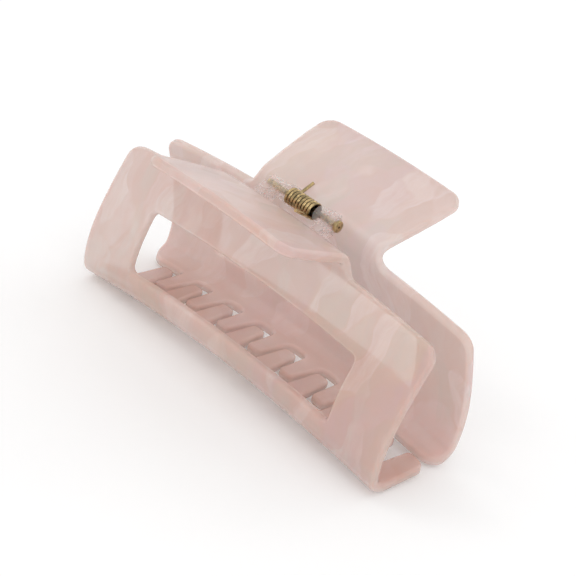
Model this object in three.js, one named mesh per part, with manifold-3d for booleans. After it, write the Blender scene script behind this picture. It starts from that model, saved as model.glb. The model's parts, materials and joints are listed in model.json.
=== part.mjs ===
// A claw clip for hair: two arched plates hinged on one pin, closed by a torsion spring.
// Millimetres, +Z up. X runs along the hinge, Y from the near plate to the far plate.
import * as THREE from 'three';
import { mergeVertices } from 'three/addons/utils/BufferGeometryUtils.js';
import Module from 'manifold-3d';

const wasm = await Module();
wasm.setup();

// ---------------------------------------------------------------- driving dimensions
const clip_length = 100;
const plate_thickness = 2.4;
const end_droop = 3.5;          // how far the ends hang below the middle

// outer face of a plate, as reach from the centre plane and drop below the hinge axis
const bend_reach = 5.9;         // where the thumb plate's line meets the wall's line
const bend_drop = 2.7;
const bend_radius = 2;
const thumb_angle = 18.4;       // degrees above level
const thumb_length = 26.2;
const top_edge_reach = 6.6;
const top_edge_drop = 4.8;
const shoulder_reach = 11.4;
const shoulder_drop = 15.5;
const flank_reach = 14.6;
const flank_drop = 25;
const belly_reach = 15.5;
const belly_drop = 33;
const heel_reach = 14.3;
const heel_drop = 38.5;
const floor_reach = 10.3;
const floor_drop = 40.9;
const floor_angle = 2;         // degrees by which the toothed floor rises to the middle

const neck_width = 41.2;
const thumb_width = 45.4;
const thumb_corner = 4.2;
const neck_fillet = 3.3;
const body_corner = 3.5;

const window_length = 68;
const window_top_drop = 16.2;
const window_bottom_drop = 32.4;
const window_corner = 1.5;

const tooth_pitch = 11;
const tooth_gap = 0.9;          // free space beside each tooth where the two rows mesh
const tooth_taper = 2;          // how much narrower a tooth is at its tip than at its root
const tooth_cross = 4.3;        // how far a tip passes the centre plane
const tooth_root = 6.9;         // distance of the slots' ends from the centre plane
const end_cut = 6.5;            // the same where a row is cut back at an end
const foot_corner = 5;
const near_teeth = 8;           // of even width, beside the wider one at the head's end
const end_slot = 2.6;           // width of the slot beside that wide tooth

const pin_radius = 0.75;
const pin_play = 0.08;
const head_radius = 1.45;
const head_thickness = 0.7;
const tail_length = 0.7;        // end of the pin past the last knuckle
const knuckle_radius = 2.1;
const knuckle_width = 2.7;
const knuckle_gap = 0.3;
const glue_gap = 0.3;
const pad_top_drop = 0.4;       // span of the glued pads, below the hinge axis
const pad_bottom_drop = 7.4;

const wire_radius = 0.4;
const coil_radius = 1.73;
const coil_turns = 9;
const coil_length = 8.2;
const leg_angle = 27.5;         // degrees above level
const leg_length = 7.2;
const coil_clearance = 0.35;

const plate_steps = 24;

// ---------------------------------------------------------------- materials
const acetate = { color: 0xe3bdb6, roughness: 0.18, metalness: 0, transparent: true, opacity: 0.92 };
const near_acetate = new THREE.MeshStandardMaterial(acetate);
const far_acetate = new THREE.MeshStandardMaterial(acetate);
const clear_acetate = new THREE.MeshStandardMaterial({
  color: 0xf1e6e1, roughness: 0.1, metalness: 0, transparent: true, opacity: 0.45,
});
const brass = new THREE.MeshStandardMaterial({ color: 0x9c8450, roughness: 0.35, metalness: 1 });

// ---------------------------------------------------------------- helpers
const rad = THREE.MathUtils.degToRad;
const half_length = clip_length / 2;
const droop = (x) => end_droop * (x / half_length) ** 2;
const hinge_height = floor_drop + end_droop;

function toSolid(geometry) {
  const bare = geometry.clone();
  bare.deleteAttribute('normal');
  bare.deleteAttribute('uv');
  const merged = mergeVertices(bare, 1e-4);
  return new wasm.Manifold(new wasm.Mesh({
    numProp: 3,
    vertProperties: new Float32Array(merged.attributes.position.array),
    triVerts: new Uint32Array(merged.index.array),
  }));
}

function toGeometry(solid) {
  const mesh = solid.getMesh();
  const geometry = new THREE.BufferGeometry();
  const step = mesh.numProp;
  const count = mesh.vertProperties.length / step;
  const position = new Float32Array(count * 3);
  for (let i = 0; i < count; i++) {
    for (let k = 0; k < 3; k++) {
      position[3 * i + k] = mesh.vertProperties[step * i + k];
    }
  }
  geometry.setAttribute('position', new THREE.BufferAttribute(position, 3));
  geometry.setIndex(new THREE.BufferAttribute(new Uint32Array(mesh.triVerts), 1));
  geometry.computeVertexNormals();
  return geometry;
}

// An outline in (first, second) coordinates extruded along the remaining axis.
function prism(outline, low, high, place, steps = 1) {
  const geometry = new THREE.ExtrudeGeometry(new THREE.Shape(outline), {
    depth: high - low,
    bevelEnabled: false,
    steps,
  });
  geometry.translate(0, 0, low);
  geometry.applyMatrix4(place);
  return geometry;
}

const alongX = new THREE.Matrix4().makeBasis(
  new THREE.Vector3(0, 1, 0), new THREE.Vector3(0, 0, 1), new THREE.Vector3(1, 0, 0),
);
const alongY = new THREE.Matrix4().makeBasis(
  new THREE.Vector3(-1, 0, 0), new THREE.Vector3(0, 0, 1), new THREE.Vector3(0, 1, 0),
);
const alongZ = new THREE.Matrix4();

// Lets every vertex hang with the arch of the plates.
function hang(geometry) {
  const position = geometry.attributes.position;
  for (let i = 0; i < position.count; i++) {
    position.setZ(i, position.getZ(i) - droop(position.getX(i)));
  }
  return geometry;
}

// Turns long straight runs of an outline into short ones, so that it can hang too.
function shortSteps(points, limit) {
  const result = [];
  points.forEach((point, i) => {
    const next = points[(i + 1) % points.length];
    const pieces = Math.max(1, Math.ceil(Math.abs(next.x - point.x) / limit));
    for (let k = 0; k < pieces; k++) {
      result.push(point.clone().lerp(next, k / pieces));
    }
  });
  return result;
}

function circlePoints(radius, sides) {
  return Array.from({ length: sides }, (_, k) => {
    const a = (2 * Math.PI * k) / sides;
    return new THREE.Vector2(radius * Math.cos(a), radius * Math.sin(a));
  });
}

// A closed outline through corners, each rounded by its own radius.
function roundedOutline(corners) {
  const path = new THREE.Path();
  const n = corners.length;
  corners.forEach(([x, y, radius], i) => {
    const corner = new THREE.Vector2(x, y);
    const before = new THREE.Vector2(...corners[(i + n - 1) % n].slice(0, 2)).sub(corner);
    const after = new THREE.Vector2(...corners[(i + 1) % n].slice(0, 2)).sub(corner);
    const angle = Math.acos(before.clone().normalize().dot(after.clone().normalize()));
    const reach = radius / Math.tan(angle / 2);
    const start = corner.clone().add(before.setLength(reach));
    const end = corner.clone().add(after.setLength(reach));
    if (i === 0) {
      path.moveTo(start.x, start.y);
    } else {
      path.lineTo(start.x, start.y);
    }
    if (radius > 0) {
      path.quadraticCurveTo(x, y, end.x, end.y);
    }
  });
  const points = path.getPoints(6);
  return points.filter((p, i) => i === 0 || p.distanceTo(points[i - 1]) > 1e-3);
}

// ---------------------------------------------------------------- section of a plate
// Points of the outer face, (reach, height over the hinge axis), thumb edge first.
function outerFace() {
  const corner = new THREE.Vector2(bend_reach, -bend_drop);
  const thumb = new THREE.Vector2(Math.cos(rad(thumb_angle)), Math.sin(rad(thumb_angle)));
  const top = new THREE.Vector2(top_edge_reach, -top_edge_drop);
  const wall = top.clone().sub(corner).normalize();
  const turn = Math.acos(thumb.dot(wall));
  const reach = bend_radius / Math.tan(turn / 2);
  const start = corner.clone().addScaledVector(thumb, reach);
  const end = corner.clone().addScaledVector(wall, reach);
  const across = thumb.clone().add(wall).setLength(bend_radius / Math.sin(turn / 2));
  const centre = corner.clone().add(across);
  const from = start.clone().sub(centre).angle();
  const to = end.clone().sub(centre).angle();
  const floor = new THREE.Vector2(-Math.cos(rad(floor_angle)), Math.sin(rad(floor_angle)));
  const run = (floor_reach + tooth_cross) / Math.cos(rad(floor_angle));
  const path = new THREE.Path();
  const edge = corner.clone().addScaledVector(thumb, thumb_length);
  path.moveTo(edge.x, edge.y);
  path.lineTo(start.x, start.y);
  path.absarc(centre.x, centre.y, bend_radius, from, to, false);
  const bend = path.getPoints(4);
  const wall_curve = new THREE.SplineCurve([
    bend[bend.length - 1],
    new THREE.Vector2(shoulder_reach, -shoulder_drop),
    new THREE.Vector2(flank_reach, -flank_drop),
    new THREE.Vector2(belly_reach, -belly_drop),
    new THREE.Vector2(heel_reach, -heel_drop),
    new THREE.Vector2(floor_reach, -floor_drop),
  ]);
  const tip = new THREE.Vector2(floor_reach, -floor_drop).addScaledVector(floor, run);
  return [...bend, ...wall_curve.getSpacedPoints(18).slice(1), tip];
}

// The same points moved through the plate by a distance, towards the hinge.
function offsetFace(face, distance) {
  return face.map((point, i) => {
    const before = face[Math.max(i - 1, 0)];
    const after = face[Math.min(i + 1, face.length - 1)];
    const along = after.clone().sub(before).normalize();
    return new THREE.Vector2(point.x + along.y * distance, point.y - along.x * distance);
  });
}

const outer_face = outerFace();
const inner_face = offsetFace(outer_face, plate_thickness);

// ---------------------------------------------------------------- the two plates
const mid_height = -top_edge_drop + 2;

// Everything inside this solid stays: the long body, the neck and the thumb plate.
function plateLimits(side) {
  const low = -floor_drop - end_droop - 10;
  const body = roundedOutline([
    [-half_length, -top_edge_drop, body_corner],
    [-half_length, low, 0],
    [half_length, low, 0],
    [half_length, -top_edge_drop, body_corner],
  ]);
  const neck = neck_width / 2;
  const flare = neck + neck_fillet;
  const collar = [];
  for (let k = 0; k <= 6; k++) {
    const a = (Math.PI / 2) * (k / 6);
    collar.push(new THREE.Vector2(
      flare - neck_fillet * Math.sin(a),
      -top_edge_drop + neck_fillet * (1 - Math.cos(a)),
    ));
  }
  const mirrored = collar.map((p) => new THREE.Vector2(-p.x, p.y)).reverse();
  const throat = [
    new THREE.Vector2(flare, -top_edge_drop - 2), ...collar,
    new THREE.Vector2(neck, mid_height + neck_fillet),
    new THREE.Vector2(-neck, mid_height + neck_fillet), ...mirrored,
    new THREE.Vector2(-flare, -top_edge_drop - 2),
  ];
  const depth = 80;
  const plan_edge = inner_face[0].x + 5;
  const free_edge = (inner_face[0].x + outer_face[0].x) / 2;
  const plan = roundedOutline([
    [-neck, -10, 0],
    [neck, -10, 0],
    [neck, 4, 0],
    [neck + 0.6, 0.35 * free_edge, 12],
    [thumb_width / 2, free_edge, thumb_corner],
    [-thumb_width / 2, free_edge, thumb_corner],
    [-neck - 0.6, 0.35 * free_edge, 12],
    [-neck, 4, 0],
  ]);
  if (side < 0) {
    plan.forEach((p) => p.setY(-p.y));
    plan.reverse();
  }
  const shorten = (outline) => shortSteps(outline, clip_length / plate_steps);
  const body_solid = toSolid(hang(prism(shorten(body), -depth, depth, alongY)));
  const throat_solid = toSolid(hang(prism(shorten(throat), -depth, depth, alongY)));
  const plan_solid = toSolid(hang(prism(shorten(plan), mid_height + 1, plan_edge, alongZ)));
  return body_solid.add(throat_solid).add(plan_solid);
}

function windowCut() {
  const outline = roundedOutline([
    [-window_length / 2, -window_top_drop, window_corner],
    [-window_length / 2, -window_bottom_drop, window_corner],
    [window_length / 2, -window_bottom_drop, window_corner],
    [window_length / 2, -window_top_drop, window_corner],
  ]);
  const cut = shortSteps(outline, clip_length / plate_steps);
  return toSolid(hang(prism(cut, -80, 80, alongY)));
}

const mesh_width = (tooth_pitch - 2 * tooth_gap) / 2;
const root_half = (tooth_pitch - mesh_width - tooth_taper / 2) / 2;
const tip_half = (tooth_pitch - mesh_width + tooth_taper / 2) / 2;
const tip_far = -tooth_cross - 2;

// A cut through the floor, drawn in plan with the second coordinate as distance from the
// centre plane on the plate's own side.
function floorCut(corners, side) {
  const outline = roundedOutline(corners).map((p) => new THREE.Vector2(p.x, side * p.y));
  if (side * THREE.ShapeUtils.area(outline) < 0) {
    outline.reverse();
  }
  const low = -floor_drop - end_droop - 10;
  return toSolid(prism(outline, low, -window_bottom_drop - 2, alongZ));
}

// One slot between two teeth of a row: round at its end, wider towards the tips.
function slotCut(x, side, half) {
  const round = 0.8 * half;
  const wide = half + tip_half - root_half;
  return floorCut([
    [x - half, tooth_root, round], [x - wide, tip_far, 0],
    [x + wide, tip_far, 0], [x + half, tooth_root, round],
  ], side);
}

// The part of a row that is missing outside its last tooth, with the rounded foot's corner.
function endCut(x, side, end) {
  const beyond = end * (half_length + 10);
  const high = end_cut + foot_corner + 0.01;
  return floorCut([
    [beyond, high, 0], [beyond, tip_far, 0], [x - end * tip_half, tip_far, 0],
    [x - end * root_half, end_cut, 0.8 * root_half],
    [end * half_length, end_cut, foot_corner], [end * half_length, high, 0],
  ], side);
}

// The rows are half a pitch apart. The near row ends in a wide tooth at the head's end.
function slotCuts(side) {
  const cuts = [];
  const count = side < 0 ? near_teeth : near_teeth - 1;
  for (let k = 1; k < count; k++) {
    cuts.push(slotCut((k - count / 2) * tooth_pitch, side, root_half));
  }
  const last = (count / 2) * tooth_pitch;
  cuts.push(endCut(-last, side, -1));
  if (side < 0) {
    cuts.push(slotCut(last - root_half + end_slot / 2, side, end_slot / 2));
  } else {
    cuts.push(endCut(last, side, 1));
  }
  return cuts;
}

function plate(side) {
  const section = [...outer_face, ...inner_face.slice().reverse()];
  const outline = section.map((p) => new THREE.Vector2(side * p.x, p.y));
  const sheet = hang(prism(outline, -half_length, half_length, alongX, plate_steps));
  let solid = toSolid(sheet).intersect(plateLimits(side)).subtract(windowCut());
  for (const cut of slotCuts(side)) {
    solid = solid.subtract(cut);
  }
  return toGeometry(solid);
}

// ---------------------------------------------------------------- hinge knuckles
// A barrel round the pin with a web whose foot follows the inner face of its plate.
function knuckle(side) {
  const seat = offsetFace(outer_face, plate_thickness + glue_gap)
    .filter((p) => p.y < -pad_top_drop && p.y > -pad_bottom_drop);
  const top = seat[0];
  const bottom = seat[seat.length - 1];
  const signed = (a) => (a > Math.PI ? a - 2 * Math.PI : a);
  const from = signed(top.angle()) + Math.acos(knuckle_radius / top.length());
  const to = signed(bottom.angle()) - Math.acos(knuckle_radius / bottom.length()) + 2 * Math.PI;
  const points = [...seat].reverse();
  const sides = 20;
  for (let k = 0; k <= sides; k++) {
    const a = from + (to - from) * (k / sides);
    points.push(new THREE.Vector2(Math.cos(a) * knuckle_radius, Math.sin(a) * knuckle_radius));
  }
  const outline = points.map((p) => new THREE.Vector2(side * p.x, p.y));
  const shape = new THREE.Shape(outline);
  shape.holes.push(new THREE.Path(circlePoints((pin_radius + pin_play) / Math.cos(Math.PI / 24), 24)));
  const geometry = new THREE.ExtrudeGeometry(shape, { depth: knuckle_width, bevelEnabled: false });
  geometry.translate(0, 0, -knuckle_width / 2);
  geometry.applyMatrix4(alongX);
  return geometry;
}

const inner_knuckle_x = coil_length / 2 + wire_radius + coil_clearance + knuckle_width / 2;
const outer_knuckle_x = inner_knuckle_x + knuckle_width + knuckle_gap;

// ---------------------------------------------------------------- pin and spring
function hingePin() {
  const head = outer_knuckle_x + knuckle_width / 2 + knuckle_gap;
  const tail = -outer_knuckle_x - knuckle_width / 2 - tail_length;
  const dome = 0.18;
  const profile = [
    new THREE.Vector2(0, tail),
    new THREE.Vector2(pin_radius - dome, tail),
    new THREE.Vector2(pin_radius, tail + dome),
    new THREE.Vector2(pin_radius, head),
    new THREE.Vector2(head_radius, head),
    new THREE.Vector2(head_radius, head + head_thickness - dome),
    new THREE.Vector2(head_radius - dome, head + head_thickness),
    new THREE.Vector2(0, head + head_thickness),
  ];
  const geometry = new THREE.LatheGeometry(profile, 24);
  geometry.rotateZ(-Math.PI / 2);
  return geometry;
}

class CoilPath extends THREE.Curve {
  constructor() {
    super();
    const slope = rad(leg_angle);
    this.start = slope - Math.PI / 2;
    const finish = -Math.PI - this.start - coil_turns * 2 * Math.PI;
    this.sweep = finish - this.start;
    this.coil = Math.abs(this.sweep) * coil_radius;
    this.total = this.coil + 2 * leg_length;
  }

  getPoint(t, target = new THREE.Vector3()) {
    const slope = rad(leg_angle);
    const s = t * this.total;
    const along = THREE.MathUtils.clamp((s - leg_length) / this.coil, 0, 1);
    const angle = this.start + this.sweep * along;
    const x = -coil_length / 2 + coil_length * along;
    let y = Math.cos(angle) * coil_radius;
    let z = Math.sin(angle) * coil_radius;
    if (s < leg_length) {
      y += (leg_length - s) * Math.cos(slope);
      z += (leg_length - s) * Math.sin(slope);
    } else if (s > leg_length + this.coil) {
      y -= (s - leg_length - this.coil) * Math.cos(slope);
      z += (s - leg_length - this.coil) * Math.sin(slope);
    }
    return target.set(x, y, z);
  }
}

function torsionSpring() {
  return new THREE.ExtrudeGeometry(new THREE.Shape(circlePoints(wire_radius, 8)), {
    steps: 170,
    bevelEnabled: false,
    extrudePath: new CoilPath(),
  });
}

// ---------------------------------------------------------------- assembly
function named(name, geometry, material, x = 0) {
  const mesh = new THREE.Mesh(geometry, material);
  mesh.name = name;
  mesh.position.x = x;
  return mesh;
}

const clip = new THREE.Group();
clip.position.z = hinge_height;
clip.add(named('near_jaw', plate(-1), near_acetate));
clip.add(named('far_jaw', plate(1), far_acetate));
for (const [end, sign] of [['left', -1], ['right', 1]]) {
  const outer = named(`near_knuckle_${end}`, knuckle(-1), clear_acetate, sign * outer_knuckle_x);
  const inner = named(`far_knuckle_${end}`, knuckle(1), clear_acetate, sign * inner_knuckle_x);
  clip.add(outer, inner);
}
clip.add(named('hinge_pin', hingePin(), brass));
clip.add(named('torsion_spring', torsionSpring(), brass));

export default clip;
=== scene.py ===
"""A claw clip for hair, in pearly marbled acetate, on its CAD frame.

Two bent plates with long windows and meshing teeth turn on one brass pin inside four
clear knuckles, and a brass torsion spring holds them shut.
"""

import json
import math

import bmesh
import bpy
import numpy as np
from bpy.props import FloatProperty, FloatVectorProperty, IntProperty, PointerProperty
from bpy.types import Operator, Panel, PropertyGroup
from mathutils import Matrix, Vector
from mathutils.geometry import delaunay_2d_cdt

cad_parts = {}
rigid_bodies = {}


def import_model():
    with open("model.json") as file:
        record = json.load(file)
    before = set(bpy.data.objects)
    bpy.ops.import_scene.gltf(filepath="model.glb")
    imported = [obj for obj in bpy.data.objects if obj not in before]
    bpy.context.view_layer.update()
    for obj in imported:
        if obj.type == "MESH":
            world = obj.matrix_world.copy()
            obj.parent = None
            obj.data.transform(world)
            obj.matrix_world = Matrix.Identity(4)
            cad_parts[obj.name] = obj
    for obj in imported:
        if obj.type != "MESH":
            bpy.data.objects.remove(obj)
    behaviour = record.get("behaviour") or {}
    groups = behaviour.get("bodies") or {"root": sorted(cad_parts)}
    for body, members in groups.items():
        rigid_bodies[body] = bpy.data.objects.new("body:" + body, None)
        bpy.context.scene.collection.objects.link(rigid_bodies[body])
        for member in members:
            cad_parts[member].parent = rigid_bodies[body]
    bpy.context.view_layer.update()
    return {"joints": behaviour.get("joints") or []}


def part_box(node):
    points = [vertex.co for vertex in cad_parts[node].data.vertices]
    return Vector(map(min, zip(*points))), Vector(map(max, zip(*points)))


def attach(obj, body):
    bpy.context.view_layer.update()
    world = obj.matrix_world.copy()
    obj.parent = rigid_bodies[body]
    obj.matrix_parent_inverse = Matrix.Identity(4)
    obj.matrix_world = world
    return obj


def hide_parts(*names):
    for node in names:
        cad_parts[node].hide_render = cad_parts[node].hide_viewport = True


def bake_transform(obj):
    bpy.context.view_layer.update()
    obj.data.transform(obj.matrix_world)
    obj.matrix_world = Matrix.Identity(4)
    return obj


bl_info = {
    "name": "Claw clip",
    "version": (1, 0, 0),
    "blender": (4, 5, 0),
    "location": "View3D > Sidebar > Claw clip",
    "description": "Builds a hair claw clip with marbled plates, clear knuckles and a brass spring",
    "category": "Add Mesh",
}

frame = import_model()
MM = 0.001
LINE_STEP = 0.1 * MM    # between stations of a plate's section
THUMB_STATIONS = 260    # stations from the thumb edge that are all on the thumb plate
FLOOR_LEAD = 40         # stations before the lowest one, where the floor begins
LEG_STEPS = 8
TURN_STEPS = 40
HINGE_JOINT = frame["joints"][0]
HINGE_HEIGHT = HINGE_JOINT["pos_m"][2]
NEAR_BODY = HINGE_JOINT["parent"]
FAR_BODY = HINGE_JOINT["child"]
CLIP_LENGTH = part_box("near_jaw")[1].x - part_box("near_jaw")[0].x


def length(name, description, default):
    return FloatProperty(
        name=name, description=description, default=default, min=0.0,
        subtype="DISTANCE", unit="LENGTH", precision=5,
    )


def colour(name, description, default):
    return FloatVectorProperty(
        name=name, description=description, default=default, size=3,
        min=0.0, max=1.0, subtype="COLOR",
    )


# ------------------------------------------------------------------ what a user may change
class ClawPlateSizes(PropertyGroup):
    thickness: length("Sheet thickness", "Thickness of the acetate sheet", 2.4 * MM)
    edge_round: length("Edge round", "Radius of the polished edges", 0.85 * MM)
    end_droop: length("End droop", "How far the ends hang below the middle", 3.5 * MM)
    bend_reach: length("Bend reach", "Where thumb and wall lines meet, from the centre", 5.9 * MM)
    bend_drop: length("Bend drop", "Where thumb and wall lines meet, below the hinge", 2.7 * MM)
    bend_radius: length("Bend radius", "Outer face radius under the thumb plate", 2.0 * MM)
    thumb_angle: FloatProperty(
        name="Thumb plate angle", description="Rise of the thumb plate",
        default=math.radians(18.4), subtype="ANGLE", unit="ROTATION",
    )
    thumb_length: length("Thumb plate length", "From its free edge to the bend", 26.2 * MM)
    thumb_width: length("Thumb plate width", "Width at the free edge", 44.8 * MM)
    thumb_corner: length("Thumb corner", "Corner radius of the thumb plate", 3.8 * MM)
    neck_width: length("Neck width", "Narrowest width above the body", 40.0 * MM)
    neck_shift: length("Neck shift", "How far the neck sits towards the pin's head", 0.8 * MM)
    neck_fillet: length("Neck fillet", "Radius between neck and body", 3.2 * MM)
    top_edge_reach: length("Top edge reach", "Top edge of the body, from the centre", 6.6 * MM)
    top_edge_drop: length("Top edge drop", "Top edge of the body below the hinge", 4.8 * MM)
    shoulder_reach: length("Shoulder reach", "Outer face a third of the way down", 11.4 * MM)
    shoulder_drop: length("Shoulder drop", "Height of that point below the hinge", 15.5 * MM)
    flank_reach: length("Flank reach", "Outer face two thirds of the way down", 14.6 * MM)
    flank_drop: length("Flank drop", "Height of that point below the hinge", 25.0 * MM)
    belly_reach: length("Belly reach", "Widest point of the outer face", 15.5 * MM)
    belly_drop: length("Belly drop", "Height of that point below the hinge", 33.0 * MM)
    heel_reach: length("Heel reach", "Outer face where the wall turns under", 14.4 * MM)
    heel_drop: length("Heel drop", "Height of that point below the hinge", 38.5 * MM)
    floor_reach: length("Floor reach", "Lowest point of the outer face", 10.3 * MM)
    floor_drop: length("Floor drop", "Height of that point below the hinge", 40.9 * MM)
    floor_angle: FloatProperty(
        name="Floor angle", description="Rise of the toothed floor to the middle",
        default=math.radians(2.0), subtype="ANGLE", unit="ROTATION",
    )
    body_corner: length("Body corner", "Radius of the body's top corners", 3.6 * MM)
    foot_corner: length("Foot corner", "Far row's right corner, where it is cut back", 5.0 * MM)
    near_foot_corner: length("Near foot corner", "Near row's left corner", 3.0 * MM)
    far_foot_corner: length("Far foot corner", "Far row's left corner", 6.75 * MM)
    end_tooth_corner: length("End tooth corner", "Corner of the near row's wide tooth", 2.4 * MM)
    window_length: length("Window length", "Length of the long opening", 67.6 * MM)
    window_top_drop: length("Window top", "Top of the opening below the hinge", 16.3 * MM)
    window_bottom_drop: length("Window bottom", "Foot of the opening below the hinge", 32.4 * MM)
    window_corner: length("Window corner", "Corner radius of the opening", 1.5 * MM)
    tooth_pitch: length("Tooth pitch", "Distance between teeth of one row", 11.0 * MM)
    tooth_root_width: length("Tooth root width", "Width of a tooth at its root", 5.6 * MM)
    tooth_tip_width: length("Tooth tip width", "Width of a tooth at its tip", 4.0 * MM)
    tooth_cross: length("Tooth crossing", "How far a tip passes the centre plane", 4.3 * MM)
    tooth_root: length("Tooth root", "From the slots' ends to the centre plane", 6.9 * MM)
    end_cut: length("End cut", "The same where a row is cut back at an end", 6.5 * MM)
    end_slot: length("End slot", "Width of the slot beside the near row's wide tooth", 2.6 * MM)
    near_teeth: IntProperty(
        name="Near teeth", description="Teeth of even width on the near plate", default=8, min=3,
    )
    mesh_step: length("Mesh step", "Grid step across the plates", 0.8 * MM)


class ClawHingeSizes(PropertyGroup):
    pin_radius: length("Pin radius", "Radius of the hinge pin", 0.75 * MM)
    head_radius: length("Head radius", "Radius of the pin's flat head", 1.45 * MM)
    head_thickness: length("Head thickness", "Thickness of the pin's head", 0.7 * MM)
    tail_length: length("Tail length", "End of the pin past the last knuckle", 0.7 * MM)
    bore_play: length("Bore play", "Gap between pin and barrel", 0.09 * MM)
    knuckle_radius: length("Barrel radius", "Radius of a knuckle's barrel", 2.1 * MM)
    knuckle_width: length("Knuckle width", "Width of a knuckle along the pin", 2.7 * MM)
    knuckle_gap: length("Knuckle gap", "Gap between neighbouring knuckles", 0.3 * MM)
    foot_gap: length("Foot gap", "Gap under a knuckle's foot", 0.05 * MM)
    wire_radius: length("Wire radius", "Radius of the spring's wire", 0.42 * MM)
    coil_radius: length("Coil radius", "Radius of the coil to the wire's middle", 1.73 * MM)
    coil_length: length("Coil length", "Length of the coil along the pin", 8.2 * MM)
    coil_turns: IntProperty(
        name="Coil turns", description="Whole turns of the spring", default=9, min=2,
    )
    leg_length: length("Leg length", "Straight part at each end of the wire", 7.2 * MM)
    leg_angle: FloatProperty(
        name="Leg angle", description="Rise of the spring's legs",
        default=math.radians(27.5), subtype="ANGLE", unit="ROTATION",
    )
    coil_clearance: length("Coil clearance", "Gap between coil and knuckles", 0.35 * MM)


class ClawFinish(PropertyGroup):
    rose: colour("Rose", "Main colour of the acetate", (0.67, 0.47, 0.41))
    blush: colour("Blush", "Paler ground of the acetate", (0.69, 0.53, 0.47))
    cream: colour("Cream", "Warm flakes in the acetate", (0.72, 0.58, 0.47))
    lavender: colour("Lavender", "Violet flakes in the acetate", (0.66, 0.50, 0.53))
    sage: colour("Sage", "Grey green flakes in the acetate", (0.58, 0.53, 0.46))
    pearl: colour("Pearl", "Palest flakes in the acetate", (0.82, 0.72, 0.69))
    # Painted shade: coral laid on the inner faces towards the teeth, for light that reaches them
    # only through the tinted plates.
    coral_shade: colour("Coral", "Deeper colour inside, towards the teeth", (0.76, 0.43, 0.36))
    marbling: FloatProperty(
        name="Marbling", description="Strength of the flakes", default=0.42, min=0.0, max=1.0,
        subtype="FACTOR",
    )
    clearness: FloatProperty(
        name="Clearness", description="How much the plates show what is behind", default=0.42,
        min=0.0, max=1.0, subtype="FACTOR",
    )
    clear: colour("Clear acetate", "Colour of the hinge knuckles", (0.93, 0.79, 0.76))
    brass: colour("Brass", "Colour of the pin and spring", (0.44, 0.33, 0.17))
    floor: colour("Floor", "Colour of the pale floor", (1.0, 1.0, 1.0))


# ------------------------------------------------------------------ section of a plate
def curve_through(points, step):
    """Points along a smooth curve through a few given points."""
    points = [np.array(p, float) for p in points]
    ghost = [2 * points[0] - points[1], *points, 2 * points[-1] - points[-2]]
    result = [points[0]]
    for a, b, c, d in zip(ghost, ghost[1:], ghost[2:], ghost[3:]):
        count = max(4, int(np.linalg.norm(c - b) / step))
        for k in range(1, count + 1):
            t = k / count
            result.append(0.5 * (
                2 * b + (c - a) * t + (2 * a - 5 * b + 4 * c - d) * t ** 2
                + (3 * b - a - 3 * c + d) * t ** 3
            ))
    return result


def even_steps(line, step):
    line = np.array(line)
    run = np.concatenate([[0], np.cumsum(np.linalg.norm(np.diff(line, axis=0), axis=1))])
    stations = np.linspace(0, run[-1], int(run[-1] / step) + 1)
    return np.stack([np.interp(stations, run, line[:, k]) for k in (0, 1)], 1)


def eased(line, step, width):
    """The same line with its creases rounded, its ends left where they are."""
    pad = int(4 * width / step)
    ahead = line[-1] + np.outer(np.arange(1, pad + 1), line[-1] - line[-2])
    behind = line[0] + np.outer(np.arange(pad, 0, -1), line[0] - line[1])
    long = np.concatenate([behind, line, ahead])
    reach = np.arange(-pad, pad + 1) * step
    weights = np.exp(-0.5 * (reach / width) ** 2)
    weights /= weights.sum()
    return np.stack([np.convolve(long[:, k], weights, "valid") for k in (0, 1)], 1)


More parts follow.
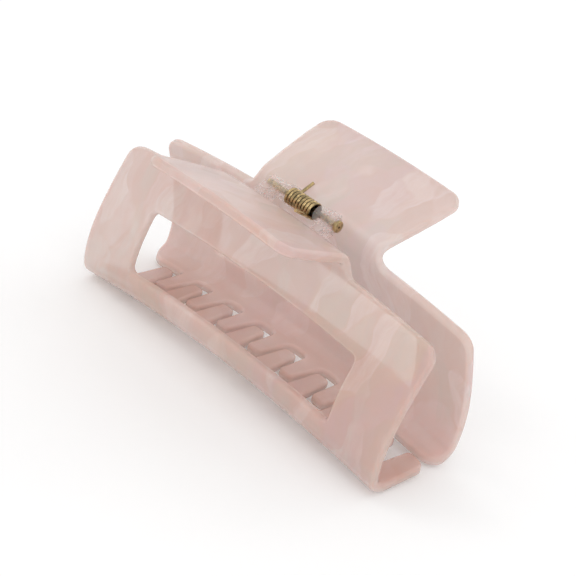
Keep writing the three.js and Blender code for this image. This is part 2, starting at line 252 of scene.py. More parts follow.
class PlateSection:
    """The bent sheet seen from its end: its middle line, directions and landmarks."""

    def __init__(self, size):
        angle = size.thumb_angle
        thumb = np.array([math.cos(angle), math.sin(angle)])
        corner = np.array([size.bend_reach, -size.bend_drop])
        top = np.array([size.top_edge_reach, -size.top_edge_drop])
        wall = (top - corner) / np.linalg.norm(top - corner)
        turn = math.acos(float(thumb @ wall))
        reach = size.bend_radius / math.tan(turn / 2)
        across = (thumb + wall) / np.linalg.norm(thumb + wall)
        centre = corner + across * size.bend_radius / math.sin(turn / 2)
        start = corner + thumb * reach - centre
        end = corner + wall * reach - centre
        first = math.atan2(start[1], start[0])
        last = math.atan2(end[1], end[0])
        last += 2 * math.pi if last < first else 0
        bend = [
            centre + size.bend_radius * np.array([math.cos(a), math.sin(a)])
            for a in np.linspace(first, last, 24)
        ]
        floor_angle = size.floor_angle
        low = np.array([size.floor_reach, -size.floor_drop])
        floor = np.array([-math.cos(floor_angle), math.sin(floor_angle)])
        run = (size.floor_reach + size.tooth_cross) / math.cos(floor_angle)
        down = curve_through([
            bend[-1], (size.shoulder_reach, -size.shoulder_drop),
            (size.flank_reach, -size.flank_drop), (size.belly_reach, -size.belly_drop),
            (size.heel_reach, -size.heel_drop), low,
        ], 0.2 * MM)
        line = [corner + thumb * size.thumb_length, *bend, *down[1:], low + floor * run]
        outer = eased(even_steps(line, LINE_STEP), LINE_STEP, 0.9 * MM)
        along = np.gradient(outer, axis=0)
        along /= np.linalg.norm(along, axis=1)[:, None]
        out = np.stack([-along[:, 1], along[:, 0]], 1)
        self.outer = outer
        self.middle = outer - out * size.thickness / 2
        self.along = along
        self.out = out
        lengths = np.linalg.norm(np.diff(self.middle, axis=0), axis=1)
        self.run = np.concatenate([[0], np.cumsum(lengths)])
        self.half = size.thickness / 2

    def at_drop(self, drop):
        """Distance along the sheet at which the outer face is this far below the hinge."""
        below = np.argmin(self.outer[:, 1])
        first = np.argmax(self.outer[:, 0] < self.outer[0, 0] * 0.35)
        part = slice(first, below)
        return float(np.interp(drop, -self.outer[part, 1], self.run[part]))

    def at_reach(self, reach):
        """Distance along the sheet at which the floor is this far from the centre plane."""
        start = np.argmin(self.outer[:, 1]) - FLOOR_LEAD
        return float(np.interp(-reach, -self.outer[start:, 0], self.run[start:]))

    def thumb_at(self, reach):
        """Distance along the sheet at which the thumb plate is this far out."""
        part = slice(0, THUMB_STATIONS)
        return float(np.interp(-reach, -self.middle[part, 0], self.run[part]))

    def end(self):
        return float(self.run[-1])

    def blend(self, table, s):
        return np.stack([np.interp(s, self.run, table[:, k]) for k in (0, 1)], 1)


def placed(section, size, side, local):
    """Row-frame points for (along the hinge, along the sheet, through the sheet)."""
    middle = section.blend(section.middle, local[:, 1])
    out = section.blend(section.out, local[:, 1])
    out /= np.linalg.norm(out, axis=1)[:, None]
    flat = middle + out * local[:, 2:3]
    droop = size.end_droop * (local[:, 0] / (CLIP_LENGTH / 2)) ** 2
    return np.stack([local[:, 0], side * flat[:, 0], flat[:, 1] - droop + HINGE_HEIGHT], 1)


def placed_normals(section, size, side, local, facing):
    """The same turn for directions given in the sheet's own frame."""
    out = section.blend(section.out, local[:, 1])
    along = section.blend(section.along, local[:, 1])
    flat = facing[:, 1:2] * along + facing[:, 2:3] * out
    lean = 2 * size.end_droop * local[:, 0] / (CLIP_LENGTH / 2) ** 2
    normal = np.stack([facing[:, 0] + lean * flat[:, 1], side * flat[:, 0], flat[:, 1]], 1)
    return normal / np.linalg.norm(normal, axis=1)[:, None]


# ------------------------------------------------------------------ flat pattern of a plate
def rounded_loop(corners, spacing):
    """A closed loop through (x, s, radius) corners, as evenly spaced points."""
    points = []
    count = len(corners)
    for i, (x, s, radius) in enumerate(corners):
        here = np.array([x, s])
        if radius <= 0:
            points.append(here)
            continue
        before = np.array(corners[i - 1][:2]) - here
        after = np.array(corners[(i + 1) % count][:2]) - here
        before /= np.linalg.norm(before)
        after /= np.linalg.norm(after)
        angle = math.acos(float(np.clip(before @ after, -1, 1)))
        reach = radius / math.tan(angle / 2)
        middle = (before + after) / np.linalg.norm(before + after)
        centre = here + middle * radius / math.sin(angle / 2)
        a = here + before * reach - centre
        b = here + after * reach - centre
        start = math.atan2(a[1], a[0])
        sweep = (math.atan2(b[1], b[0]) - start + math.pi) % (2 * math.pi) - math.pi
        steps = max(4, int(abs(sweep) * radius / (0.45 * spacing)))
        for k in range(steps + 1):
            t = start + sweep * k / steps
            points.append(centre + radius * np.array([math.cos(t), math.sin(t)]))
    loop = []
    for i, point in enumerate(points):
        following = points[(i + 1) % len(points)]
        gap = float(np.linalg.norm(following - point))
        if gap < 1e-7:
            continue
        pieces = max(1, math.ceil(gap / spacing))
        loop += [point + (following - point) * k / pieces for k in range(pieces)]
    return np.array(loop)


def loop_area(loop):
    x, y = loop[:, 0], loop[:, 1]
    return 0.5 * float(np.sum(x * np.roll(y, -1) - np.roll(x, -1) * y))


def inset_directions(loop):
    """For each point, the direction and stretch that move the loop into the material."""
    ahead = np.roll(loop, -1, 0) - loop
    back = loop - np.roll(loop, 1, 0)
    ahead /= np.linalg.norm(ahead, axis=1)[:, None]
    back /= np.linalg.norm(back, axis=1)[:, None]
    left_a = np.stack([-ahead[:, 1], ahead[:, 0]], 1)
    left_b = np.stack([-back[:, 1], back[:, 0]], 1)
    mean = left_a + left_b
    mean /= np.linalg.norm(mean, axis=1)[:, None]
    stretch = 1 / np.clip(np.sum(mean * left_a, axis=1), 0.5, 1)
    return mean, stretch


def inside(loop, points):
    result = np.zeros(len(points), bool)
    x, y = points[:, 0], points[:, 1]
    for (x0, y0), (x1, y1) in zip(loop, np.roll(loop, -1, 0)):
        crosses = (y0 > y) != (y1 > y)
        if y1 != y0:
            result ^= crosses & (x < x0 + (y - y0) * (x1 - x0) / (y1 - y0))
    return result


def thumb_side(section, size, neck):
    """The flaring side of the thumb plate, from near its free edge to the neck."""
    edge = size.thumb_width / 2
    shares = ((22.0, 0.80), (18.0, 0.62), (14.0, 0.42), (10.5, 0.22), (7.8, 0.07))
    stations = [(neck + (edge - neck) * w, section.thumb_at(r * MM)) for r, w in shares]
    stations.append((neck, section.at_drop(size.top_edge_drop) - size.neck_fillet - 0.2 * MM))
    return curve_through(stations, 0.7 * MM)


def side_corners(section, size, neck):
    """Corners (x, s, radius) of a plate's right side, thumb plate first."""
    top = section.at_drop(size.top_edge_drop)
    corners = [(size.thumb_width / 2, 0.0, size.thumb_corner)]
    corners += [(x, s, 0.0) for x, s in thumb_side(section, size, neck)]
    corners.append((neck, top, size.neck_fillet))
    corners.append((CLIP_LENGTH / 2, top, size.body_corner))
    return corners


def tooth_corners(section, size, side):
    """Corners of the toothed edge from right to left. The two rows are half a pitch apart."""
    half = CLIP_LENGTH / 2
    tip, root = section.end(), section.at_reach(size.tooth_root)
    cut = section.at_reach(size.end_cut)
    root_half, tip_half = size.tooth_root_width / 2, size.tooth_tip_width / 2
    gap = size.tooth_pitch - size.tooth_root_width
    root_round, tip_round = 0.38 * gap, 0.36 * size.tooth_tip_width
    count = size.near_teeth if side < 0 else size.near_teeth - 1
    centres = [(k - (count - 1) / 2) * size.tooth_pitch for k in reversed(range(count))]
    if side < 0:
        x = centres[0] + root_half + size.end_slot
        narrow = 0.38 * size.end_slot
        corners = [
            (half, tip, size.end_tooth_corner),
            (x + root_half - tip_half, tip, tip_round), (x, root, narrow),
            (centres[0] + root_half, root, narrow),
        ]
    else:
        corners = [(half, cut, size.foot_corner), (centres[0] + root_half, cut, root_round)]
    for x in centres:
        if x != centres[0]:
            corners.append((x + root_half, root, root_round))
        corners += [(x + tip_half, tip, tip_round), (x - tip_half, tip, tip_round)]
        if x != centres[-1]:
            corners.append((x - root_half, root, root_round))
    corners.append((centres[-1] - root_half, cut, root_round))
    corners.append((-half, cut, size.near_foot_corner if side < 0 else size.far_foot_corner))
    return corners


def plate_loops(section, size, side):
    """The outline and the window of one plate, both with material on their left."""
    right = side_corners(section, size, size.neck_width / 2 + size.neck_shift)
    left = side_corners(section, size, size.neck_width / 2 - size.neck_shift)
    left = [(-x, s, r) for x, s, r in reversed(left)]
    right += tooth_corners(section, size, side)
    outline = rounded_loop(right + left, size.mesh_step)
    if loop_area(outline) < 0:
        outline = outline[::-1]
    x = size.window_length / 2
    top = section.at_drop(size.window_top_drop)
    foot = section.at_drop(size.window_bottom_drop)
    r = size.window_corner
    window = rounded_loop([(-x, top, r), (x, top, r), (x, foot, r), (-x, foot, r)], size.mesh_step)
    if loop_area(window) > 0:
        window = window[::-1]
    return [outline, window]


def face_triangles(loops, step):
    """Triangles over the flat part of a face, with the loops' points first."""
    rim = np.concatenate(loops)
    low, high = rim.min(0), rim.max(0)
    columns = np.arange(low[0] + step, high[0], 2.2 * step)
    rows = np.arange(low[1] + step, high[1], step)
    grid = np.stack(np.meshgrid(columns, rows), -1).reshape(-1, 2)
    keep = inside(loops[0], grid) & ~inside(loops[1], grid)
    grid = grid[keep]
    nearest = np.full(len(grid), 1.0)
    for point in rim:
        nearest = np.minimum(nearest, np.sum((grid - point) ** 2, axis=1))
    grid = grid[nearest > (0.55 * step) ** 2]
    points = np.concatenate([rim, grid])
    edges = []
    first = 0
    for loop in loops:
        n = len(loop)
        edges += [(first + k, first + (k + 1) % n) for k in range(n)]
        first += n
    scale = 1000.0
    made = delaunay_2d_cdt([Vector(p * scale) for p in points], edges, [], 0, 1e-5, True)
    back = [ids[0] for ids in made[3]]
    triangles = np.array([[back[v] for v in face] for face in made[2]])
    centres = points[triangles].mean(1)
    keep = inside(loops[0], centres) & ~inside(loops[1], centres)
    return grid, triangles[keep]


def build_plate(name, side, size):
    """One bent plate with rounded edges, from its flat pattern."""
    section = PlateSection(size)
    loops = plate_loops(section, size, side)
    half, r = size.thickness / 2, min(size.edge_round, size.thickness / 2 * 0.98)
    moves = [inset_directions(loop) for loop in loops]
    turns = 6
    levels = []
    for k in range(turns + 1):
        a = 0.5 * math.pi * k / turns
        out, up = math.sin(a), math.cos(a)
        levels.append((r * (1 - out), half - r * (1 - up), out, up))
    levels = [(r + 0.25 * MM, half, 0.0, 1.0), *levels]
    levels += [(inset, -height, out, -up) for inset, height, out, up in reversed(levels)]
    local, facing = [], []
    for inset, height, out, up in levels:
        for loop, (direction, stretch) in zip(loops, moves):
            flat = loop + direction * (stretch * inset)[:, None]
            local.append(np.column_stack([flat, np.full(len(flat), height)]))
            facing.append(np.column_stack([-direction * out, np.full(len(flat), up)]))
    ring = sum(len(loop) for loop in loops)
    rims = [loop + d * (s * levels[0][0])[:, None] for loop, (d, s) in zip(loops, moves)]
    grid, triangles = face_triangles(rims, size.mesh_step)
    last = (len(levels) - 1) * ring
    faces = []
    total = len(levels) * ring
    for sign, base, flip in ((1, 0, False), (-1, last, True)):
        local.append(np.column_stack([grid, np.full(len(grid), sign * half)]))
        facing.append(np.tile([0.0, 0.0, float(sign)], (len(grid), 1)))
        shifted = np.where(triangles < ring, triangles + base, triangles - ring + total)
        total += len(grid)
        faces += [tuple(t[::-1]) if flip else tuple(t) for t in shifted.tolist()]
    for level in range(len(levels) - 1):
        first = level * ring
        for loop in loops:
            n = len(loop)
            for k in range(n):
                a, b = first + k, first + (k + 1) % n
                faces.append((a, a + ring, b + ring, b))
            first += n
    local = np.concatenate(local)
    facing = np.concatenate(facing)
    mesh = bpy.data.meshes.new(name)
    mesh.from_pydata(placed(section, size, side, local).tolist(), [], faces)
    sheet = mesh.attributes.new("sheet_place", "FLOAT_VECTOR", "POINT")
    sheet.data.foreach_set("vector", local.astype(np.float32).ravel())
    turn_outwards(mesh)
    lay_uv(mesh, local[:, :2] * 10)
    mesh.shade_smooth()
    normals = placed_normals(section, size, side, local, facing)
    mesh.normals_split_custom_set_from_vertices(normals.tolist())
    return link_piece(name, mesh)


def turn_outwards(mesh):
    shell = bmesh.new()
    shell.from_mesh(mesh)
    bmesh.ops.recalc_face_normals(shell, faces=shell.faces)
    shell.to_mesh(mesh)
    shell.free()


def lay_uv(mesh, flat):
    layer = mesh.uv_layers.new(name="UVMap")
    corners = np.zeros(len(mesh.loops), np.int32)
    mesh.loops.foreach_get("vertex_index", corners)
    layer.data.foreach_set("uv", flat[corners].astype(np.float32).ravel())


def link_piece(name, mesh):
    piece = bpy.data.objects.new(name, mesh)
    bpy.context.scene.collection.objects.link(piece)
    return piece


# ------------------------------------------------------------------ material helpers
def new_material(name):
    material = bpy.data.materials.new(name)
    material.use_nodes = True
    tree = material.node_tree
    tree.nodes.clear()
    out = tree.nodes.new("ShaderNodeOutputMaterial")
    shader = tree.nodes.new("ShaderNodeBsdfPrincipled")
    tree.links.new(shader.outputs["BSDF"], out.inputs["Surface"])
    return material, tree, shader


def node(tree, kind, **values):
    made = tree.nodes.new(kind)
    for key, value in values.items():
        if key in made.inputs:
            made.inputs[key].default_value = value
        else:
            setattr(made, key, value)
    return made


def mixed(tree, factor, first, second):
    """A colour mix whose ends are sockets or colours."""
    mix = tree.nodes.new("ShaderNodeMix")
    mix.data_type = "RGBA"
    for socket, value in ((mix.inputs[0], factor), (mix.inputs[6], first), (mix.inputs[7], second)):
        if isinstance(value, bpy.types.NodeSocket):
            tree.links.new(value, socket)
        elif isinstance(value, float):
            socket.default_value = value
        else:
            socket.default_value = (*value, 1.0)
    return mix.outputs[2]


def ramp(tree, source, stops):
    """A colour or grey ramp through (place, value) stops."""
    made = tree.nodes.new("ShaderNodeValToRGB")
    elements = made.color_ramp.elements
    while len(elements) < len(stops):
        elements.new(0.5)
    for element, (place, value) in zip(elements, stops):
        element.position = place
        shade = (value, value, value) if isinstance(value, float) else value
        element.color = (*shade, 1.0)
    tree.links.new(source, made.inputs["Fac"])
    return made.outputs["Color"]


def acetate_material(name, finish, offset):
    """Marbled acetate: soft overlapping flakes of several tints, laid along the sheet, with painted
    shade in coral on the inner faces towards the teeth.
    """
    material, tree, shader = new_material(name)
    link = tree.links.new
    place = node(tree, "ShaderNodeAttribute", attribute_name="sheet_place")
    shifted = node(tree, "ShaderNodeMapping", Location=(offset, 0.7 * offset, 0.0))
    link(place.outputs["Vector"], shifted.inputs["Vector"])
    warp = node(tree, "ShaderNodeTexNoise", Scale=75.0, Detail=2.0, Roughness=0.55)
    link(shifted.outputs["Vector"], warp.inputs["Vector"])
    centred = node(tree, "ShaderNodeVectorMath", operation="SUBTRACT")
    link(warp.outputs["Color"], centred.inputs[0])
    centred.inputs[1].default_value = (0.5, 0.5, 0.5)
    pushed = node(tree, "ShaderNodeVectorMath", operation="SCALE")
    pushed.inputs["Scale"].default_value = 0.010
    link(centred.outputs["Vector"], pushed.inputs[0])
    moved = node(tree, "ShaderNodeVectorMath", operation="ADD")
    link(shifted.outputs["Vector"], moved.inputs[0])
    link(pushed.outputs["Vector"], moved.inputs[1])

    def laid(turn, stretch):
        made = node(tree, "ShaderNodeMapping", Rotation=(0.0, 0.0, turn), Scale=(1.0, stretch, 0.7))
        link(moved.outputs["Vector"], made.inputs["Vector"])
        return made.outputs["Vector"]

    def flakes(turn, scale, stretch, low, high):
        """Three masks of feathery flakes lying in one direction."""
        cells = node(tree, "ShaderNodeTexVoronoi", feature="SMOOTH_F1", Scale=scale,
                     Smoothness=0.22, Randomness=1.0)
        link(laid(turn, stretch), cells.inputs["Vector"])
        split = node(tree, "ShaderNodeSeparateColor")
        link(cells.outputs["Color"], split.inputs["Color"])
        grain = node(tree, "ShaderNodeTexNoise", Scale=3.4 * scale, Detail=3.0, Roughness=0.6)
        link(laid(turn + 0.15, 0.16), grain.inputs["Vector"])
        feather = ramp(tree, grain.outputs["Fac"], [(0.32, 0.25), (0.66, 1.0)])
        masks = []
        for channel in ("Red", "Green", "Blue"):
            mask = ramp(tree, split.outputs[channel], [(low, 0.0), (high, finish.marbling)])
            product = node(tree, "ShaderNodeMath", operation="MULTIPLY")
            link(mask, product.inputs[0])
            link(feather, product.inputs[1])
            masks.append(product.outputs["Value"])
        return masks

    broad = flakes(0.5, 70.0, 0.45, 0.48, 0.74)
    fine = flakes(1.15, 150.0, 0.40, 0.50, 0.80)
    cloud = node(tree, "ShaderNodeTexNoise", Scale=26.0, Detail=3.0, Roughness=0.5)
    link(moved.outputs["Vector"], cloud.inputs["Vector"])
    tone = ramp(tree, cloud.outputs["Fac"], [(0.36, 0.0), (0.64, 1.0)])
    colour_out = mixed(tree, tone, finish.rose, finish.blush)
    for mask, tint in zip(broad + fine, (
        finish.pearl, finish.lavender, finish.cream, finish.sage, finish.rose, finish.pearl,
    )):
        colour_out = mixed(tree, mask, colour_out, tint)
    # Painted shade: the inner face turns coral towards the teeth, standing in for light that
    # reaches it only through the tinted plates.
    split = node(tree, "ShaderNodeSeparateXYZ")
    link(place.outputs["Vector"], split.inputs["Vector"])
    depths = []
    for axis, start, stop in (("Z", 0.2 * MM, -0.8 * MM), ("Y", 50 * MM, 70 * MM)):
        depth = node(tree, "ShaderNodeMapRange")
        depth.inputs["From Min"].default_value = start
        depth.inputs["From Max"].default_value = stop
        depth.inputs["To Max"].default_value = 0.72
        link(split.outputs[axis], depth.inputs["Value"])
        depths.append(depth.outputs["Result"])
    inner_shade = node(tree, "ShaderNodeMath", operation="MULTIPLY")
    link(depths[0], inner_shade.inputs[0])
    link(depths[1], inner_shade.inputs[1])
    colour_out = mixed(tree, inner_shade.outputs["Value"], colour_out, finish.coral_shade)
    link(colour_out, shader.inputs["Base Color"])
    shader.inputs["Subsurface Weight"].default_value = 1.0
    shader.inputs["Subsurface Radius"].default_value = (1.0, 0.78, 0.72)
    shader.inputs["Subsurface Scale"].default_value = 3.0 * MM
    shader.inputs["Alpha"].default_value = 1.0 - finish.clearness
    shader.inputs["Roughness"].default_value = 0.26
    shader.inputs["IOR"].default_value = 1.42
    shader.inputs["Coat Weight"].default_value = 0.35
    shader.inputs["Coat Roughness"].default_value = 0.05
    ripple = node(tree, "ShaderNodeTexNoise", Scale=70.0, Detail=1.0)
    link(place.outputs["Vector"], ripple.inputs["Vector"])
    bump = node(tree, "ShaderNodeBump", Strength=0.06, Distance=0.4 * MM)
    link(ripple.outputs["Fac"], bump.inputs["Height"])
    link(bump.outputs["Normal"], shader.inputs["Normal"])
    return material


def clear_material(finish):
    """Nearly clear pink acetate with a faint inner clouding."""
    material, tree, shader = new_material("clear_acetate")
    coords = node(tree, "ShaderNodeTexCoord")
    wave = node(tree, "ShaderNodeTexNoise", Scale=420.0, Detail=2.0)
    tree.links.new(coords.outputs["Object"], wave.inputs["Vector"])
    deep = tuple(0.86 * c for c in finish.clear)
    tint = ramp(tree, wave.outputs["Fac"], [(0.4, deep), (0.62, finish.clear)])
    tree.links.new(tint, shader.inputs["Base Color"])
    shader.inputs["Subsurface Weight"].default_value = 1.0
    shader.inputs["Subsurface Radius"].default_value = (1.0, 0.8, 0.75)
    shader.inputs["Subsurface Scale"].default_value = 2.0 * MM
    shader.inputs["Alpha"].default_value = 0.14
    shader.inputs["Roughness"].default_value = 0.08
    shader.inputs["IOR"].default_value = 1.5
    shader.inputs["Coat Weight"].default_value = 1.0
    shader.inputs["Coat Roughness"].default_value = 0.03
    bump = node(tree, "ShaderNodeBump", Strength=0.3, Distance=0.1 * MM)
    tree.links.new(wave.outputs["Fac"], bump.inputs["Height"])
    tree.links.new(bump.outputs["Normal"], shader.inputs["Normal"])
    return material


def brass_material(name, finish, roughness, bright_from):
    """Aged brass: stained, with painted shade where it lies closer to the hinge line than
    bright_from.
    """
    material, tree, shader = new_material(name)
    link = tree.links.new
    coords = node(tree, "ShaderNodeTexCoord")
    stain = node(tree, "ShaderNodeTexNoise", Scale=900.0, Detail=3.0)
    link(coords.outputs["Object"], stain.inputs["Vector"])
    dark = tuple(c * 0.62 for c in finish.brass)
    bright = tuple(min(1.0, c * 1.25) for c in finish.brass)
    tint = ramp(tree, stain.outputs["Fac"], [(0.35, dark), (0.6, bright)])
    # Painted shade: the brass goes dark closer to the hinge line than bright_from, on the inner
    # side of the spring's wire where the turns crowd, and at the middle of the pin's end faces.
    centred = node(tree, "ShaderNodeVectorMath", operation="SUBTRACT")
    link(coords.outputs["Object"], centred.inputs[0])
    centred.inputs[1].default_value = (0.0, 0.0, HINGE_HEIGHT)
    across = node(tree, "ShaderNodeVectorMath", operation="MULTIPLY")
    link(centred.outputs["Vector"], across.inputs[0])
    across.inputs[1].default_value = (0.0, 1.0, 1.0)
    distance = node(tree, "ShaderNodeVectorMath", operation="LENGTH")
    link(across.outputs["Vector"], distance.inputs[0])
    reach = node(tree, "ShaderNodeMapRange")
    link(distance.outputs["Value"], reach.inputs["Value"])
    reach.inputs["From Min"].default_value = bright_from - 0.2 * MM
    reach.inputs["From Max"].default_value = bright_from
    painted_crevice_shade = tuple(c * 0.12 for c in finish.brass)
    link(mixed(tree, reach.outputs["Result"], painted_crevice_shade, tint), shader.inputs["Base Color"])
    rough = ramp(tree, stain.outputs["Fac"], [(0.3, roughness * 1.4), (0.7, roughness * 0.8)])
    link(rough, shader.inputs["Roughness"])
    shader.inputs["Metallic"].default_value = 1.0
    return material


def finish_piece(piece, material, body, slot, *nodes):
    piece.data.materials.clear()
    piece.data.materials.append(material)
    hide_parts(*nodes)
    if body:
        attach(piece, body)


# ------------------------------------------------------------------ operators
class CLAW_OT_plates(Operator):
    """Build the two bent acetate plates"""

    bl_idname = "claw_clip.plates"
    bl_label = "Plates"

    def execute(self, context):
        size = context.scene.claw_plate
        finish = context.scene.claw_finish
        for name, side, body, cad, offset in (
            ("near_plate", -1, NEAR_BODY, "near_jaw", 0.13),
            ("far_plate", 1, FAR_BODY, "far_jaw", 0.57),
        ):
            piece = build_plate(name, side, size)
            material = acetate_material(f"{name}_acetate", finish, offset)
            finish_piece(piece, material, body, f"{cad.split('_')[0]}_acetate", cad)
        return {"FINISHED"}


def knuckle_outline(section, size, side):
    """The knuckle seen along the pin: a barrel whose foot follows its plate."""
    inner = section.middle - section.out * (section.half + size.foot_gap)
    low = HINGE_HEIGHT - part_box("near_knuckle_left")[0].z
    seat = inner[(inner[:, 1] < -0.4 * MM) & (inner[:, 1] > -low)]
    seat = even_steps(seat, 0.25 * MM)
    r = size.knuckle_radius
    top, foot = seat[0], seat[-1]
    start = math.atan2(top[1], top[0]) + math.acos(r / np.linalg.norm(top))
    end = math.atan2(foot[1], foot[0]) - math.acos(r / np.linalg.norm(foot)) + 2 * math.pi
    round_end = [(r * math.cos(a), r * math.sin(a)) for a in np.linspace(start, end, 40)]
    return [(side * y, z) for y, z in [*seat[::-1].tolist(), *round_end]]


class CLAW_OT_knuckles(Operator):
    """Build the four clear knuckles that hold the pin"""

    bl_idname = "claw_clip.knuckles"
    bl_label = "Knuckles"

    def execute(self, context):
        size = context.scene.claw_hinge
        finish = context.scene.claw_finish
        section = PlateSection(context.scene.claw_plate)
        material = clear_material(finish)
        inner, outer = knuckle_places(size)
        for side, body, place in ((-1, NEAR_BODY, outer), (1, FAR_BODY, inner)):
            half_name = "near" if side < 0 else "far"
            for end, sign in (("left", -1), ("right", 1)):
                name = f"{half_name}_barrel_{end}"
                mesh = knuckle_mesh(name, knuckle_outline(section, size, side), size, sign * place)
                piece = link_piece(name, mesh)
                finish_piece(piece, material, body, "clear_acetate", f"{half_name}_knuckle_{end}")
        return {"FINISHED"}


def knuckle_places(size):
    inner = size.coil_length / 2 + size.wire_radius + size.coil_clearance + size.knuckle_width / 2
    return inner, inner + size.knuckle_width + size.knuckle_gap


def knuckle_mesh(name, outline, size, x):
    """A bored slab with softened edges, standing on its foot."""
    bore = size.pin_radius + size.bore_play
    hole = [(bore * math.cos(a), bore * math.sin(a)) for a in np.linspace(0, -2 * math.pi, 49)[:-1]]
    points = [Vector((y * 1000, z * 1000)) for y, z in outline + hole]
    n, m = len(outline), len(hole)
    edges = [(k, (k + 1) % n) for k in range(n)] + [(n + k, n + (k + 1) % m) for k in range(m)]
    made = delaunay_2d_cdt(points, edges, [], 0, 1e-6, True)
    back = [ids[0] for ids in made[3]]
    triangles = np.array([[back[v] for v in f] for f in made[2]])
    flat = np.array(outline + hole)
    centres = flat[triangles].mean(1)
    triangles = triangles[inside(np.array(outline), centres) & ~inside(np.array(hole), centres)]
    half = size.knuckle_width / 2
    shell = bmesh.new()
    sides = []
    for dx in (-half, half):
        sides.append([shell.verts.new((x + dx, y, z + HINGE_HEIGHT)) for y, z in flat])
    for level in sides:
        for t in triangles:
            shell.faces.new([level[i] for i in t])
    for a, b in edges:
        shell.faces.new([sides[0][a], sides[0][b], sides[1][b], sides[1][a]])
    bmesh.ops.dissolve_limit(shell, angle_limit=0.01, verts=shell.verts, edges=shell.edges)
    bmesh.ops.recalc_face_normals(shell, faces=shell.faces)
    sharp = [e for e in shell.edges if len(e.link_faces) == 2 and e.calc_face_angle(0) > 0.6]
    bmesh.ops.bevel(shell, geom=sharp, offset=0.22 * MM, segments=3, profile=0.5, affect="EDGES")
    bmesh.ops.triangulate(shell, faces=[f for f in shell.faces if len(f.verts) > 4])
    bmesh.ops.recalc_face_normals(shell, faces=shell.faces)
    mesh = bpy.data.meshes.new(name)
    shell.to_mesh(mesh)
    shell.free()
    mesh.shade_smooth()
    mesh.set_sharp_from_angle(angle=0.7)
    return mesh


class CLAW_OT_pin(Operator):
    """Turn the brass pin with its flat head"""

    bl_idname = "claw_clip.pin"
    bl_label = "Hinge pin"

    def execute(self, context):
        size = context.scene.claw_hinge
        outer = knuckle_places(size)[1]
        head = outer + size.knuckle_width / 2 + size.knuckle_gap
        tail = -outer - size.knuckle_width / 2 - size.tail_length
        r, big, thick = size.pin_radius, size.head_radius, size.head_thickness
        soft = 0.14 * MM
        profile = [(tail, 0.0), (tail, r - 2 * soft), (tail + 0.6 * soft, r - 0.6 * soft),
                   (tail + 2 * soft, r), (head - 0.2 * soft, r), (head, r + 0.2 * soft),
                   (head, big - soft), (head + 0.3 * soft, big - 0.3 * soft), (head + soft, big),
                   (head + thick - soft, big), (head + thick - 0.3 * soft, big - 0.3 * soft),
                   (head + thick, big - soft), (head + thick + 0.03 * MM, 0.5 * big),
                   (head + thick + 0.04 * MM, 0.0)]
        piece = link_piece("brass_pin", turned_mesh("brass_pin", profile, 64))
        material = brass_material("pin_brass", context.scene.claw_finish, 0.3, 0.4 * MM)
        finish_piece(piece, material, NEAR_BODY, "pin_brass", "hinge_pin")
        return {"FINISHED"}


def turned_mesh(name, profile, sides):
    """A closed turned shape about the hinge line, from (place, radius) points."""
    shell = bmesh.new()
    rings = []
    for x, r in profile:
        if r == 0:
            rings.append([shell.verts.new((x, 0, HINGE_HEIGHT))])
            continue
        angles = [2 * math.pi * k / sides for k in range(sides)]
        rings.append([
            shell.verts.new((x, r * math.cos(a), HINGE_HEIGHT + r * math.sin(a))) for a in angles
        ])
    for low, high in zip(rings, rings[1:]):
        for k in range(sides):
            j = (k + 1) % sides
            if len(low) == 1:
                shell.faces.new([low[0], high[k], high[j]])
            elif len(high) == 1:
                shell.faces.new([low[k], high[0], low[j]])
            else:
                shell.faces.new([low[k], high[k], high[j], low[j]])
    bmesh.ops.recalc_face_normals(shell, faces=shell.faces)
    mesh = bpy.data.meshes.new(name)
    shell.to_mesh(mesh)
    shell.free()
    mesh.shade_smooth()
    mesh.set_sharp_from_angle(angle=1.0)
    return mesh


def spring_line(size):
    """Points of the wire: far leg, close coil, near leg."""
    slope = size.leg_angle
    start = slope - math.pi / 2
    sweep = -math.pi - 2 * start - size.coil_turns * 2 * math.pi
    r, half, leg = size.coil_radius, size.coil_length / 2, size.leg_length
    points = []
    for k in range(LEG_STEPS, 0, -1):
        d = leg * k / LEG_STEPS
        points.append((-half, r * math.cos(start) + d * math.cos(slope),
                       r * math.sin(start) + d * math.sin(slope)))
    count = size.coil_turns * TURN_STEPS
    for k in range(count + 1):
        t = k / count
        a = start + sweep * t
        points.append((-half + 2 * half * t, r * math.cos(a), r * math.sin(a)))
    a = start + sweep
    for k in range(1, LEG_STEPS + 1):
        d = leg * k / LEG_STEPS
        points.append((half, r * math.cos(a) - d * math.cos(slope),
                       r * math.sin(a) + d * math.sin(slope)))
    return [(x, y, z + HINGE_HEIGHT) for x, y, z in points]


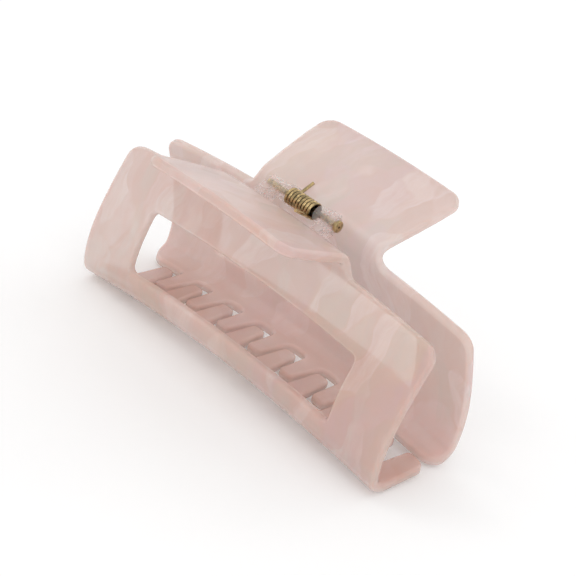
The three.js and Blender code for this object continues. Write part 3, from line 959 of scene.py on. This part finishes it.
def wire_tree(material):
    """Geometry Nodes: a round wire swept along a curve."""
    tree = bpy.data.node_groups.new("wire_along_curve", "GeometryNodeTree")
    face = tree.interface
    face.new_socket("Geometry", in_out="INPUT", socket_type="NodeSocketGeometry")
    radius = face.new_socket("Wire radius", in_out="INPUT", socket_type="NodeSocketFloat")
    sides = face.new_socket("Wire sides", in_out="INPUT", socket_type="NodeSocketInt")
    face.new_socket("Geometry", in_out="OUTPUT", socket_type="NodeSocketGeometry")
    nodes, link = tree.nodes, tree.links.new
    source = nodes.new("NodeGroupInput")
    ring = nodes.new("GeometryNodeCurvePrimitiveCircle")
    sweep = nodes.new("GeometryNodeCurveToMesh")
    sweep.inputs["Fill Caps"].default_value = True
    smooth = nodes.new("GeometryNodeSetShadeSmooth")
    real = nodes.new("GeometryNodeRealizeInstances")
    paint = nodes.new("GeometryNodeSetMaterial")
    paint.inputs["Material"].default_value = material
    out = nodes.new("NodeGroupOutput")
    link(source.outputs["Geometry"], sweep.inputs["Curve"])
    link(source.outputs["Wire radius"], ring.inputs["Radius"])
    link(source.outputs["Wire sides"], ring.inputs["Resolution"])
    link(ring.outputs["Curve"], sweep.inputs["Profile Curve"])
    link(sweep.outputs["Mesh"], smooth.inputs["Geometry"])
    link(smooth.outputs["Geometry"], real.inputs["Geometry"])
    link(real.outputs["Geometry"], paint.inputs["Geometry"])
    link(paint.outputs["Geometry"], out.inputs["Geometry"])
    return tree, radius.identifier, sides.identifier


class CLAW_OT_spring(Operator):
    """Wind the brass torsion spring"""

    bl_idname = "claw_clip.spring"
    bl_label = "Torsion spring"

    def execute(self, context):
        size = context.scene.claw_hinge
        material = brass_material(
            "spring_brass", context.scene.claw_finish, 0.2, size.coil_radius + 0.27 * MM)
        points = spring_line(size)
        curve = bpy.data.curves.new("wire_line", "CURVE")
        curve.dimensions = "3D"
        line = curve.splines.new("POLY")
        line.points.add(len(points) - 1)
        for target, place in zip(line.points, points):
            target.co = (*place, 1.0)
        holder = link_piece("wire_line", curve)
        tree, radius_id, sides_id = wire_tree(material)
        sweep = holder.modifiers.new("Wire", "NODES")
        sweep.node_group = tree
        sweep[radius_id] = size.wire_radius
        sweep[sides_id] = 16
        context.view_layer.update()
        graph = context.evaluated_depsgraph_get()
        mesh = bpy.data.meshes.new_from_object(holder.evaluated_get(graph), depsgraph=graph)
        mesh.name = "brass_spring"
        bpy.data.objects.remove(holder)
        piece = link_piece("brass_spring", mesh)
        weld(mesh)
        mesh.set_sharp_from_angle(angle=1.0)
        finish_piece(piece, material, None, "spring_brass", "torsion_spring")
        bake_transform(piece)
        return {"FINISHED"}


def weld(mesh):
    shell = bmesh.new()
    shell.from_mesh(mesh)
    bmesh.ops.remove_doubles(shell, verts=shell.verts, dist=1e-7)
    bmesh.ops.recalc_face_normals(shell, faces=shell.faces)
    shell.to_mesh(mesh)
    shell.free()


class CLAW_OT_stage(Operator):
    """Lay the pale floor, hang the soft lights and set the camera"""

    bl_idname = "claw_clip.stage"
    bl_label = "Stage"

    def execute(self, context):
        scene = context.scene
        mesh = bpy.data.meshes.new("floor")
        mesh.from_pydata([(-6, -6, 0), (6, -6, 0), (6, 6, 0), (-6, 6, 0)], [], [(0, 1, 2, 3)])
        floor = link_piece("floor", mesh)
        floor.location.z = -0.3 * MM
        material, _, shader = new_material("pale_floor")
        shader.inputs["Base Color"].default_value = (*scene.claw_finish.floor, 1.0)
        shader.inputs["Roughness"].default_value = 0.9
        shader.inputs["Specular IOR Level"].default_value = 0.0
        mesh.materials.append(material)
        middle = Vector((0, 0, 0.03))
        for name, place, width, power, tint in (
            ("key_softbox", (-0.55, -0.35, 0.95), 0.30, 0.7, (1.0, 0.99, 0.98)),
            ("fill_softbox", (0.75, -0.75, 0.55), 0.4, 0.8, (1.0, 1.0, 1.0)),
            ("back_softbox", (0.1, 0.95, 0.7), 0.4, 0.55, (1.0, 1.0, 1.0)),
        ):
            lamp = bpy.data.lights.new(name, "AREA")
            lamp.shape = "SQUARE"
            lamp.size = width
            lamp.energy = power
            lamp.color = tint
            holder = bpy.data.objects.new(name, lamp)
            scene.collection.objects.link(holder)
            holder.location = place
            holder.rotation_euler = (middle - Vector(place)).to_track_quat("-Z", "Y").to_euler()
        world = scene.world or bpy.data.worlds.new("studio")
        scene.world = world
        world.use_nodes = True
        background = world.node_tree.nodes.get("Background")
        background.inputs["Color"].default_value = (1.0, 1.0, 1.0, 1.0)
        background.inputs["Strength"].default_value = 0.95
        lens = bpy.data.cameras.new("camera")
        lens.lens = 103.03
        lens.sensor_width = 36.0
        lens.clip_start = 0.01
        lens.clip_end = 50.0
        camera = bpy.data.objects.new("camera", lens)
        scene.collection.objects.link(camera)
        turn = Matrix((
            (0.689796, -0.491431, 0.531674),
            (0.684648, 0.203939, -0.699761),
            (0.235455, 0.846702, 0.477133),
        ))
        stand = Matrix.Translation((0.205614, -0.267516, 0.161146 + HINGE_HEIGHT))
        camera.matrix_world = stand @ turn.to_4x4()
        scene.camera = camera
        scene.view_settings.view_transform = "Standard"
        return {"FINISHED"}


class CLAW_PT_panel(Panel):
    bl_label = "Claw clip"
    bl_idname = "CLAW_PT_panel"
    bl_space_type = "VIEW_3D"
    bl_region_type = "UI"
    bl_category = "Claw clip"

    def draw(self, context):
        layout = self.layout
        for operator in OPERATORS:
            layout.operator(operator.bl_idname)
        for group in ("claw_plate", "claw_hinge", "claw_finish"):
            box = layout.box()
            settings = getattr(context.scene, group)
            for prop in settings.bl_rna.properties:
                if not prop.is_readonly and prop.identifier != "name":
                    box.prop(settings, prop.identifier)


OPERATORS = (CLAW_OT_plates, CLAW_OT_knuckles, CLAW_OT_pin, CLAW_OT_spring, CLAW_OT_stage)
CLASSES = (ClawPlateSizes, ClawHingeSizes, ClawFinish, *OPERATORS, CLAW_PT_panel)


def register():
    for item in CLASSES:
        bpy.utils.register_class(item)
    bpy.types.Scene.claw_plate = PointerProperty(type=ClawPlateSizes)
    bpy.types.Scene.claw_hinge = PointerProperty(type=ClawHingeSizes)
    bpy.types.Scene.claw_finish = PointerProperty(type=ClawFinish)


def unregister():
    del bpy.types.Scene.claw_finish
    del bpy.types.Scene.claw_hinge
    del bpy.types.Scene.claw_plate
    for item in reversed(CLASSES):
        bpy.utils.unregister_class(item)


def main():
    register()
    for name in ("plates", "knuckles", "pin", "spring", "stage"):
        getattr(bpy.ops.claw_clip, name)()


if __name__ == "__main__":
    main()
